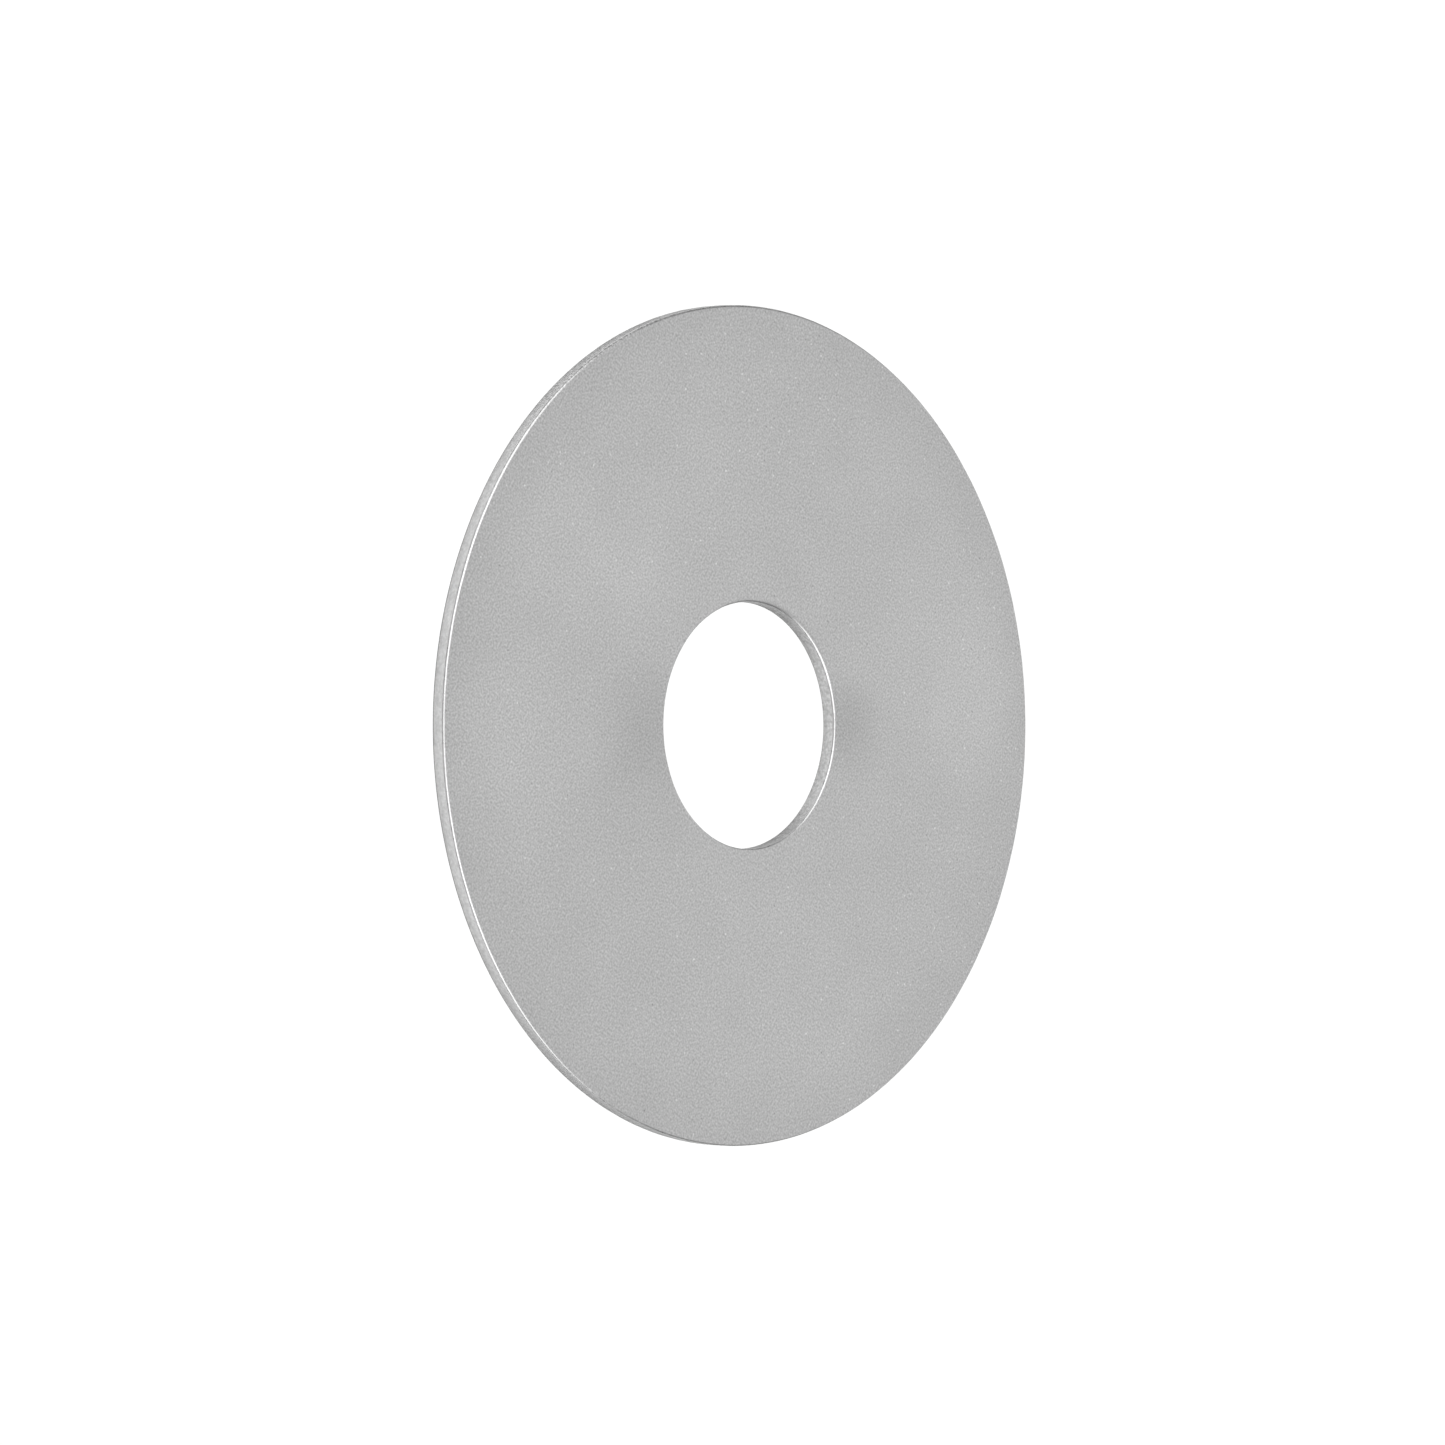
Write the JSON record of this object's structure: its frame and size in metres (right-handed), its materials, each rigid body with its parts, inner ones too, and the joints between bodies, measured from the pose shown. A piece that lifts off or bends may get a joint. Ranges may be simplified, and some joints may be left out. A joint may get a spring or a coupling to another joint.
{
  "type": "flat washer",
  "caption": "Thin, wide flat washer in bare satin steel: a stamped disc with a plain round bolt hole that spreads the load under a bolt head or nut.",
  "frame": {"origin": "centre of the bolt hole on the lower face, on which the washer lies", "axes": "+Z along the bolt hole's axis, out of the upper face, where the hole's corner is the rounder one; the shape is the same all round, so X and Y are free"},
  "size_m": [0.051, 0.051, 0.001],
  "materials": {
    "steel": "bare steel with a fine-grained, matt to satin tumbled finish on both faces, faint scoring round the sheared walls, and corners worn bright"
  },
  "bodies": {
    "root": {"washer": "steel"}
  },
  "joints": []
}
